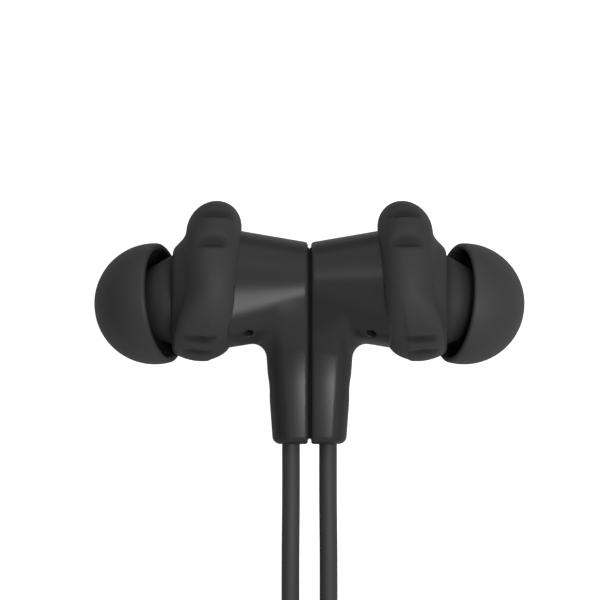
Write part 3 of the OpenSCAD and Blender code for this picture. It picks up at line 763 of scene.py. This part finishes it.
def lathe_piece(name, profile, place, side, material, steps=96):
    points, quads = lathe(profile, steps)
    return new_piece(name, place(points, side), quads, material)


def marker_to_frame(points, side):
    """The marker's axis runs out through the stem's side."""
    p = np.asarray(points)
    return bud_to_frame(np.column_stack((stem_out(MARKER_V) + p[:, 2], MARKER_V - p[:, 1],
                                         MARKER_W + p[:, 0])), side)


def stand_for(piece, body, *nodes):
    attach(piece, body)
    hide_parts(*nodes)


for side_name, side in SIDES.items():
    name, body = side_name + "_", side_name + "_bud"
    stand_for(net_piece(name + "barrel_and_stem", bud_shell_field, (-0.3, -17, -7.2), (9.4, 7, 7.2),
                        BUD_STEP, bud_to_frame, side, BUD_PLASTIC),
              body, name + "bud_shell")
    stand_for(fin_piece(name + "fin_and_sleeve", side), body, name + "ear_fin")
    stand_for(lathe_piece(name + "nozzle", nozzle_profile(), nozzle_to_frame, side, NECK_PLASTIC), body, name + "front_housing")
    stand_for(lathe_piece(name + "silicone_tip", ear_tip_profile(), nozzle_to_frame, side,
                          TIP_SILICONE, 128), side_name + "_tip", name + "ear_tip")
    stand_for(lathe_piece(name + "marker_disc", marker_profile(), marker_to_frame, side, MARKER,
                          48), body, name + "side_marker")


COLLAR_R = 1.44
COLLAR_LEN = 2.8
HOLE_PITCH = 0.36         # from one hole of a grille to the next in its row
HOLE_R = 0.12
GRILLE_RIM = 0.14         # the rim of a grille that has no holes
GRILLE_HALF = 0.09        # half its thickness
GRILLE_STEP = 0.05
VENT_MESH_AT = 5.3        # the vent mesh's distance from the barrel's axis
NOZZLE_MESH_AT = NOZZLE_END - 0.4


def grommet_profile():
    """The soft collar in the stem's end; its length runs down the cord."""
    bore = CORD_D / 2 + 0.01
    return rounded([(bore, -COLLAR_LEN, 0), (COLLAR_R, -COLLAR_LEN, 0), (COLLAR_R, -0.05, 0),
                    (1.3, 0.08, 0.12), (bore, -0.12, 0.1)])


def grommet_to_frame(points, side):
    p = np.asarray(points)
    return bud_to_frame(np.column_stack((CORD_U + p[:, 0], -STEM_LEN - p[:, 2], p[:, 1])), side)


def grille_field(p, radius):
    """A thin disc pierced by a close hexagonal pattern of holes."""
    x, y, z = p[..., 0], p[..., 1], p[..., 2]
    off_axis = np.hypot(x, y)
    disc = np.maximum(off_axis - radius, np.abs(z) - GRILLE_HALF)
    row = HOLE_PITCH * math.sqrt(3)
    near = np.full(x.shape, np.inf)
    for shift in (0, 0.5):
        hx = (x / HOLE_PITCH + shift) - np.round(x / HOLE_PITCH + shift)
        hy = (y / row + shift) - np.round(y / row + shift)
        near = np.minimum(near, np.hypot(hx * HOLE_PITCH, hy * row))
    return np.maximum(disc, np.minimum(HOLE_R - near, radius - GRILLE_RIM - off_axis))


def vent_to_frame(points, side):
    """The vent's axis runs out through the barrel's wall."""
    c, s = math.cos(VENT_ANGLE), math.sin(VENT_ANGLE)
    p = np.asarray(points)
    out = VENT_MESH_AT + p[:, 2]
    return bud_to_frame(np.column_stack((VENT_U + p[:, 0], p[:, 1] * c - out * s,
                                         p[:, 1] * s + out * c)), side)


def nozzle_mesh_to_frame(points, side):
    return nozzle_to_frame(points + np.array([0, 0, NOZZLE_MESH_AT]), side)


for side_name, side in SIDES.items():
    name, body = side_name + "_", side_name + "_bud"
    stand_for(lathe_piece(name + "stem_collar", grommet_profile(), grommet_to_frame, side,
                          CORD_JACKET, 48), body, name + "stem_grommet")
    stand_for(net_piece(name + "vent_grille", lambda p: grille_field(p, VENT_R - 0.01),
                        (-0.6, -0.6, -0.2), (0.6, 0.6, 0.2), GRILLE_STEP, vent_to_frame, side,
                        VENT), body, name + "vent_mesh")
    stand_for(net_piece(name + "nozzle_grille", lambda p: grille_field(p, NOZZLE_BORE - 0.02),
                        (-1.6, -1.6, -0.2), (1.6, 1.6, 0.2), GRILLE_STEP, nozzle_mesh_to_frame,
                        side, MESH), body, name + "nozzle_mesh")


# ---- neckband ----

BAND_MID = 4.0            # height of the band's middle
BAND_IN_POD = 3.5
GRIP_SPAN = 14            # degrees of arch from the grip's middle to its end
GRIP_LIP = 0.9            # degrees over which an end rounds off
GRIP_LIP_DROP = 0.45
GRIP_PLAIN = 2.4          # degrees beside each end without ribs
RIB_PITCH = 1.6           # degrees of arch from one rib of the grip to the next
RIB_DEPTH = 0.26


def band_section(width, height, steps=48, power=4.2):
    """A rounded section: points across and up, about the band's middle."""
    t = 2 * math.pi * (np.arange(steps) + 0.5) / steps
    c, s = np.cos(t), np.sin(t)
    return np.column_stack((np.sign(c) * np.abs(c) ** (2 / power) * width / 2,
                            np.sign(s) * np.abs(s) ** (2 / power) * height / 2))


def arch_ring(degrees, section):
    """A section set across the arch, in mm."""
    a = math.radians(degrees)
    way = np.array([math.sin(a), math.cos(a)])
    flat = np.array([0, ARCH_Y]) + (ARCH_R + section[:, :1]) * way
    return np.column_stack((flat, BAND_MID + section[:, 1]))


def make_band_half(side_name, side):
    section = band_section(BAND_T, BAND_H)
    rings = [arch_ring(a, section) * MM for a in np.arange(0, ARM_SPAN, 1.5)]
    for y in np.linspace(0, ARM_LEN + BAND_IN_POD, 24):
        rings.append(arm_to_frame(np.column_stack((section[:, 0], np.full(len(section), y),
                                                   BAND_MID + section[:, 1])), 1))
    points, faces = capped(rings)
    piece = new_piece(side_name + "_band_skin", points * np.array([side, 1, 1]), faces,
                      BAND_SILICONE)
    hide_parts("band_sleeve", side_name + "_arm_sleeve")
    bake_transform(piece)


def make_grip():
    """A sleeve round the back of the arch, ribbed across, with rounded lips at its ends."""
    outer = []
    for a in np.linspace(-GRIP_SPAN, GRIP_SPAN, 225):
        inset = max(0, 1 - (GRIP_SPAN - abs(a)) / GRIP_LIP)
        grow = GRIP_EXTRA - GRIP_LIP_DROP * (1 - math.sqrt(max(0, 1 - inset ** 2)))
        if abs(a) < GRIP_SPAN - GRIP_PLAIN:
            grow -= RIB_DEPTH * max(0, math.cos(2 * math.pi * a / RIB_PITCH)) ** 3
        outer.append(arch_ring(a, band_section(BAND_T + 2 * grow, BAND_H + 2 * grow)))
    bore = band_section(BAND_T + 0.06, BAND_H + 0.06)
    inner = [arch_ring(a, bore) for a in np.linspace(GRIP_SPAN, -GRIP_SPAN, 29)]
    rings = np.array(outer + inner) * MM
    piece = new_piece("neck_grip", rings.reshape(-1, 3),
                      grid_faces(len(rings), rings.shape[1], closed=True),
                      BAND_SILICONE)
    stand_for(piece, "band", "band_grip")


# ---- pods: the pod's own frame has its length in y, from its rear end ----

POD_W = 11.4
POD_H = 10.4
POD_WALL = 1.4
POD_ROUND = 3.4
POD_END_ROUND = 4.6
POD_RIM = 1.3             # radius of the edge round the pod's ends
SPLIT_Z = 5.0             # height of the seam between the shells
SPLIT_HALF = 0.02         # half the seam's width
BAND_HOLE_TO = 4          # how far the band's hole runs into the pod
GLAND_HOLE_FROM = 54
GLAND_HOLE_R = 2.12
TOP_HOLES_FROM = 8        # height from which the holes in the pod's top are cut
KEYS = {"volume_up_key": 16.5, "play_key": 28, "volume_down_key": 39.5}
KEY_HALF = (2.6, 4.2)
KEY_CORNER = 2.2
KEY_FOOT = 8.3
KEY_TOP = 10.9
KEY_GAP = 0.15
KEY_STEP = 0.1
POWER_AT = 16
POWER_R = 2.7
LIGHT_AT = 23
LIGHT_HOLE_R = 0.71
MIC_AT = 47
MIC_HOLE_R = 0.75
PORT_AT = 34
PORT_Z = 5.2
PORT_HALF = (4.55, 1.7)   # half the socket's hole along the pod and up
FLAP_HALF = (6.2, 2.2)
FLAP_T = 0.8
FLAP_GAP = 0.12
SCREWS_AT = (8.4, 51.4)
SCREW_HOLE_R = 0.61       # in the upper shell; the lower one's is a little wider
SCREW_HOLE_LOW_R = 0.62
SCREW_HOLE_TO = 7.6
SCREW_HEAD_R = 1.18
SCREW_HEAD_TO = 1.02
BOSS_R = 1.5              # in the upper shell
BOSS_LOW_R = 1.9
POD_STEP = 0.22
SYMBOL_DEPTH = 0.16


def pod_to_frame(points, side):
    return arm_to_frame(np.asarray(points) + np.array([0, ARM_LEN, 0]), side)


def along_pod(length):
    """The way to the row frame from a key's own frame, which is this far along the pod."""
    def place(points, side):
        return pod_to_frame(points + np.array([0, length, 0]), side)
    return place


def pod_field(p, side, upper):
    """One shell of the pod on one side, with its bosses and holes."""
    x, y, z = p[..., 0], p[..., 1], p[..., 2]
    outer = round_cut(round_box(x, z - POD_H / 2, POD_W / 2, POD_H / 2, POD_ROUND),
                      round_box(x, y - POD_LEN / 2, POD_W / 2, POD_LEN / 2, POD_END_ROUND),
                      POD_RIM)
    shell = np.maximum(outer, -outer - POD_WALL)
    for at in SCREWS_AT:
        off = np.hypot(x, y - at)
        boss = np.maximum(off - (BOSS_R if upper else BOSS_LOW_R), outer + 0.4)
        shell = round_union(shell, boss, 0.3)
    body = round_cut(shell, SPLIT_Z + SPLIT_HALF - z if upper else z - SPLIT_Z + SPLIT_HALF, 0.2)
    # Each hole goes with the radius of its edge.
    holes = [(np.maximum(round_box(x, z - BAND_MID, BAND_T / 2 + 0.05, BAND_H / 2 + 0.05, 1.0),
                         y - BAND_HOLE_TO), 0.25),
             (np.maximum(np.hypot(x, z - GLAND_Z) - GLAND_HOLE_R, GLAND_HOLE_FROM - y), 0.1)]
    for at in SCREWS_AT:
        off = np.hypot(x, y - at)
        if upper:
            holes.append((np.maximum(off - SCREW_HOLE_R, z - SCREW_HOLE_TO), 0.05))
        else:
            holes += [(off - SCREW_HOLE_LOW_R, 0.05),
                      (np.maximum(off - SCREW_HEAD_R, z - SCREW_HEAD_TO), 0.15)]
    top = TOP_HOLES_FROM - z
    if side > 0:
        holes += [(np.maximum(round_box(x, y - at, KEY_HALF[0] + KEY_GAP, KEY_HALF[1] + KEY_GAP,
                                        KEY_CORNER + KEY_GAP), top), 0.25)
                  for at in KEYS.values()]
        holes.append((np.maximum(np.hypot(x, y - MIC_AT) - MIC_HOLE_R, top), 0.2))
    else:
        holes.append((np.maximum(np.hypot(x, y - POWER_AT) - POWER_R - KEY_GAP, top), 0.25))
        holes.append((np.maximum(np.hypot(x, y - LIGHT_AT) - LIGHT_HOLE_R, top), 0.15))
        holes.append((np.maximum(round_box(y - PORT_AT, z - PORT_Z, FLAP_HALF[0] + FLAP_GAP,
                                           FLAP_HALF[1] + FLAP_GAP, 0.3), 4.8 - x), 0.15))
        holes.append((np.maximum(round_box(y - PORT_AT, z - PORT_Z, *PORT_HALF, 1.6), 3 - x), 0.12))
    for hole, edge in holes:
        body = round_cut(body, -hole, edge)
    return body


def plus(x, y):
    return np.minimum(minus(x, y), minus(y, x))


def minus(x, y):
    return round_box(x, y, 0.22, 1.15, 0.2)


def arrow_and_bars(x, y):
    """Play and pause: a triangle that points forward, then two bars."""
    point = np.maximum(np.abs(x) * 0.87 + (y - 0.35) * 0.5 - 0.12, -1.35 - y) - 0.05
    bars = np.minimum(round_box(x, y - 0.95, 0.95, 0.15, 0.1),
                      round_box(x, y - 1.6, 0.95, 0.15, 0.1))
    return np.minimum(point, bars)


SYMBOLS = {"volume_up_key": plus, "play_key": arrow_and_bars, "volume_down_key": minus}


def key_field(p, symbol):
    """A key with a slightly domed top and its symbol pressed into it."""
    x, y, z = p[..., 0], p[..., 1], p[..., 2]
    top = KEY_TOP - 0.045 * x ** 2 - 0.014 * y ** 2
    body = round_cut(round_box(x, y, *KEY_HALF, KEY_CORNER), z - top, 0.4)
    body = np.maximum(body, KEY_FOOT - z)
    return round_cut(body, -np.maximum(symbol(x, y), top - SYMBOL_DEPTH - z), 0.05)


def power_key_profile():
    """A round key with a dished top."""
    return rounded([(0, KEY_FOOT, 0), (POWER_R, KEY_FOOT, 0), (POWER_R, KEY_TOP - 0.02, 0.35),
                    (1.95, KEY_TOP - 0.02, 0.15), (1.55, KEY_TOP - 0.4, 0.4),
                    (0.5, KEY_TOP - 0.46, 0), (0, KEY_TOP - 0.46, 0)])


def flap_field(p):
    """The flap's leaf, with a scoop and three grooves at its free end, and the tongue behind it."""
    x, y, z = p[..., 0], p[..., 1] - PORT_AT, p[..., 2] - PORT_Z
    face = POD_W / 2
    leaf = round_cut(round_box(y, z, *FLAP_HALF, 0.45), np.abs(x - face + FLAP_T / 2) - FLAP_T / 2,
                     0.16)
    tongue = np.maximum(round_box(y, z, 3.3, 0.95, 0.7), np.abs(x - 4.55) - 0.45)
    body = np.minimum(leaf, tongue)
    scoop = np.sqrt((x - face - 1.35) ** 2 + (y - FLAP_HALF[0] - 0.2) ** 2 + z ** 2) - 1.7
    body = round_cut(body, -scoop, 0.1)
    for at in (2.3, 3.1, 3.9):
        body = round_cut(body, -np.maximum(np.hypot(x - face - 0.08, y - at) - 0.24,
                                           np.abs(z) - 1.4), 0.06)
    return body


def gland_profile():
    """A tapered strain relief with five grooves and a flange inside the pod's wall."""
    bore = CORD_D / 2 + 0.02
    profile = [(bore, -2.7, 0), (2.5, -2.7, 0), (2.5, -1.95, 0), (2.08, -1.95, 0),
               (2.08, 0.03, 0), (GLAND_R, 0.03, 0.2)]
    for k in range(5):
        z = 1.2 + 1.42 * k
        r = GLAND_R - (GLAND_R - GLAND_TIP_R) * z / GLAND_LEN
        profile += [(r, z, 0.1), (r - 0.36, z + 0.18, 0.08), (r - 0.4, z + 0.62, 0.08),
                    (r - 0.09, z + 0.8, 0.1)]
    return rounded(profile + [(GLAND_TIP_R, GLAND_LEN, 0.3), (bore, GLAND_LEN, 0.12)])


def gland_to_frame(points, side):
    """The gland's axis runs forward out of the pod."""
    p = np.asarray(points)
    return pod_to_frame(np.column_stack((p[:, 0], POD_LEN + p[:, 2], GLAND_Z + p[:, 1])), side)


make_grip()
for side_name, side in SIDES.items():
    name, body = side_name + "_", side_name + "_arm"
    make_band_half(side_name, side)
    for half, low, high in (("upper", 4.6, 10.8), ("lower", -0.4, 5.4)):
        stand_for(net_piece(name + "pod_" + half + "_shell",
                            lambda p: pod_field(p, side, half == "upper"),
                            (-6.2, -0.5, low), (6.2, 58.5, high), POD_STEP, pod_to_frame, side,
                            POD_PLASTIC), body, name + "pod_" + half)
    stand_for(lathe_piece(name + "strain_relief", gland_profile(), gland_to_frame, side,
                          CORD_JACKET, 64), body, name + "cord_gland")
for key, at in KEYS.items():
    stand_for(net_piece(key + "_cap", lambda p: key_field(p, SYMBOLS[key]), (-2.8, -4.4, 8.2),
                        (2.8, 4.4, 11.1), KEY_STEP, along_pod(at), 1, BUTTON), key, key)
stand_for(lathe_piece("power_key_cap", power_key_profile(), along_pod(POWER_AT), -1, BUTTON), "power_key", "power_key")
stand_for(net_piece("port_flap_leaf", flap_field, (3.8, 27, 2.6), (6, 41, 7.8), KEY_STEP,
                    pod_to_frame, -1, CORD_JACKET), "port_flap", "port_flap")


# ---- floor and lights ----

FLOOR_HALF = 3.0
FLOOR_Z = -0.00002        # just under the pieces that lie on it
SKY_LIGHT = 0.14
LIGHT_DISTANCE = 0.9

floor_mesh = bpy.data.meshes.new("floor")
floor_mesh.from_pydata([(x * FLOOR_HALF, y * FLOOR_HALF, FLOOR_Z) for x, y in
                        ((-1, -1), (1, -1), (1, 1), (-1, 1))], [], [(0, 1, 2, 3)])
floor = bpy.data.objects.new("floor", floor_mesh)
bpy.context.scene.collection.objects.link(floor)
paper = bpy.data.materials.new("paper")
paper.use_nodes = True
paper_shader = paper.node_tree.nodes["Principled BSDF"]
paper_shader.inputs["Base Color"].default_value = (0.45, 0.45, 0.45, 1)
paper_shader.inputs["Roughness"].default_value = 0.9
paper_shader.inputs["Specular IOR Level"].default_value = 0
ray = node(paper.node_tree, "ShaderNodeLightPath")
paper_shader.inputs["Emission Color"].default_value = (1, 1, 1, 1)
paper.node_tree.links.new(ray.outputs["Is Camera Ray"], paper_shader.inputs["Emission Strength"])
floor_mesh.materials.append(paper)

world = bpy.data.worlds.new("studio")
bpy.context.scene.world = world
world.use_nodes = True
sky = world.node_tree.nodes["Background"]
sky.inputs["Color"].default_value = (1, 1, 1, 1)
sky_ray = node(world.node_tree, "ShaderNodeLightPath")
sky_level = node(world.node_tree, "ShaderNodeMapRange")
sky_level.inputs["To Min"].default_value = SKY_LIGHT
sky_level.inputs["To Max"].default_value = 1.0
world.node_tree.links.new(sky_ray.outputs["Is Camera Ray"], sky_level.inputs["Value"])
world.node_tree.links.new(sky_level.outputs["Result"], sky.inputs["Strength"])


def softbox(name, azimuth, elevation, size, power, gloss=True):
    """A square light that faces the buds, from angles in the buds' frame."""
    data = bpy.data.lights.new(name, "AREA")
    data.shape = "RECTANGLE"
    data.size = size
    data.size_y = size
    data.energy = power
    light = bpy.data.objects.new(name, data)
    bpy.context.scene.collection.objects.link(light)
    a, e = math.radians(azimuth), math.radians(elevation)
    way = np.array([math.sin(a) * math.cos(e), math.sin(e), math.cos(a) * math.cos(e)])
    spot = Vector(bud_to_frame(way * LIGHT_DISTANCE / MM, 1)[0])
    light.location = spot
    light.visible_glossy = gloss
    centre = Vector(bud_to_frame((0, 0, 0), 1)[0])
    light.rotation_euler = (spot - centre).to_track_quat("Z", "Y").to_euler()


softbox("key", azimuth=14, elevation=-4.5, size=0.2, power=2.8)
softbox("front", azimuth=12, elevation=20, size=1.2, power=1.2)
softbox("back", azimuth=0, elevation=66, size=1.0, power=2.2)
softbox("fore", azimuth=15, elevation=-62, size=1.0, power=1.4)
softbox("side", azimuth=55, elevation=-8, size=0.5, power=3.8, gloss=False)
softbox("fill", azimuth=-19, elevation=31, size=0.14, power=0.36)
